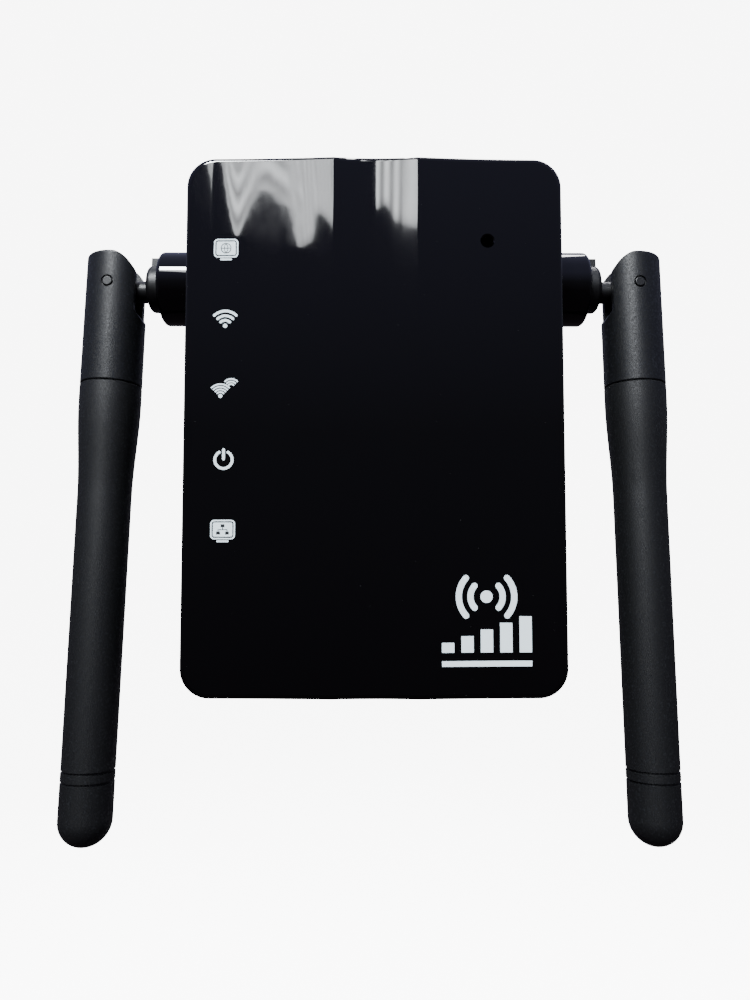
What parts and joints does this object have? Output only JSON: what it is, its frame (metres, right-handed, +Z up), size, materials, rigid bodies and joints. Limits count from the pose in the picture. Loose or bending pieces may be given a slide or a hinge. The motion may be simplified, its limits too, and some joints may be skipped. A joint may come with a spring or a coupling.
{
  "type": "wifi range extender",
  "caption": "Wall-plug wifi range extender with a gloss rippled front, status icons, folding swivel antennas, network sockets and a two-pin mains plug.",
  "frame": {"origin": "middle of the plug's contact face, halfway between the two plug pins", "axes": "+Z up, front faces -Y, plug pins point to +Y"},
  "size_m": [0.1026, 0.0648, 0.1108],
  "materials": {
    "case_gloss": "piano-black gloss injection-moulded ABS",
    "antenna_black": "fine matte moulded texture",
    "sleeve_black": "soft-touch matte sleeve",
    "swivel_black": "satin moulded nylon",
    "control_black": "satin moulded plastic",
    "inner_black": "plain moulded plastic",
    "pin_metal": "nickel-plated brass",
    "screw_steel": "zinc-plated steel",
    "label_paper": "blank matte foil label",
    "board_green": "green solder mask on glass-epoxy laminate",
    "chip_black": "moulded chip package",
    "part_metal": "tinned sheet or can",
    "capacitor_sleeve": "shrink sleeve",
    "ferrite": "sintered ferrite",
    "winding_tape": "yellow polyester tape",
    "ceramic_blue": "blue epoxy-coated disc",
    "resistor_body": "lacquered resistor",
    "contact_gold": "gold-flashed spring contact",
    "radiator_brass": "drawn brass tube",
    "coax_jacket": "thin coaxial cable jacket",
    "lead_insulation": "insulated mains lead",
    "guide_clear": "clear polycarbonate",
    "led_white": "surface-mount LED",
    "ring_rubber": "nitrile rubber"
  },
  "bodies": {
    "root": {"board_screws": "screw_steel", "bridge_rectifier": "chip_black", "bulk_capacitors": "capacitor_sleeve", "case_coax_left": "coax_jacket", "case_coax_right": "coax_jacket", "case_screws": "screw_steel", "clock_crystal": "part_metal", "controller_chip": "chip_black", "front_shell": "case_gloss", "fuse_resistor": "resistor_body", "lan_socket_contacts": "contact_gold", "lan_socket_housing": "inner_black", "light_barrier": "inner_black", "light_guide": "guide_clear", "main_board": "board_green", "main_capacitor": "part_metal", "mains_leads": "lead_insulation", "memory_chip": "chip_black", "mode_switch_body": "part_metal", "network_transformer": "chip_black", "output_capacitor": "capacitor_sleeve", "pin_retainer_plate": "inner_black", "pin_sleeves": "inner_black", "plug_pin_left": "pin_metal", "plug_pin_right": "pin_metal", "power_header": "inner_black", "power_inductor": "ferrite", "radio_shield_can": "part_metal", "rating_label": "label_paper", "rear_shell": "case_gloss", "reset_switch_body": "part_metal", "status_leds": "led_white", "supply_board": "board_green", "transformer_core": "ferrite", "transformer_winding": "winding_tape", "wan_socket_contacts": "contact_gold", "wan_socket_housing": "inner_black", "wifi_processor": "chip_black", "wps_switch_body": "inner_black", "y_capacitor": "ceramic_blue"},
    "swivel_left": {"swivel_base_left": "swivel_black", "friction_ring_left": "ring_rubber", "swivel_coax_left": "coax_jacket"},
    "antenna_left": {"antenna_knuckle_left": "antenna_black", "hinge_pin_left": "swivel_black", "antenna_sleeve_left": "sleeve_black", "antenna_radiator_left": "radiator_brass", "antenna_coax_left": "coax_jacket"},
    "swivel_right": {"swivel_base_right": "swivel_black", "friction_ring_right": "ring_rubber", "swivel_coax_right": "coax_jacket"},
    "antenna_right": {"antenna_knuckle_right": "antenna_black", "hinge_pin_right": "swivel_black", "antenna_sleeve_right": "sleeve_black", "antenna_radiator_right": "radiator_brass", "antenna_coax_right": "coax_jacket"},
    "reset_plunger": {"reset_plunger": "inner_black"},
    "wps_button": {"wps_button": "control_black"},
    "mode_slider": {"mode_slider": "control_black"}
  },
  "joints": [
    {"name": "swivel_left", "type": "hinge", "parent": "root", "child": "swivel_left", "pos_m": [-0.046, -0.0296, 0.0185], "axis": [-1, 0, 0], "range_deg": [-4, 176]},
    {"name": "fold_left", "type": "hinge", "parent": "swivel_left", "child": "antenna_left", "pos_m": [-0.046, -0.02963, 0.018], "axis": [0, 0.9976, -0.0698], "range_deg": [-0.7, 89.3]},
    {"name": "swivel_right", "type": "hinge", "parent": "root", "child": "swivel_right", "pos_m": [0.046, -0.0296, 0.0185], "axis": [-1, 0, 0], "range_deg": [-4, 176]},
    {"name": "fold_right", "type": "hinge", "parent": "swivel_right", "child": "antenna_right", "pos_m": [0.046, -0.02963, 0.018], "axis": [0, -0.9976, 0.0698], "range_deg": [0, 90]},
    {"name": "reset_press", "type": "slide", "parent": "root", "child": "reset_plunger", "axis": [0, 1, 0], "range_m": [0, 0.00025], "stiffness_N_per_m": 3000},
    {"name": "wps_press", "type": "slide", "parent": "root", "child": "wps_button", "axis": [1, 0, 0], "range_m": [0, 0.0003], "stiffness_N_per_m": 3000},
    {"name": "mode_slide", "type": "slide", "parent": "root", "child": "mode_slider", "axis": [0, 0, 1], "range_m": [-0.002, 0.002]}
  ]
}
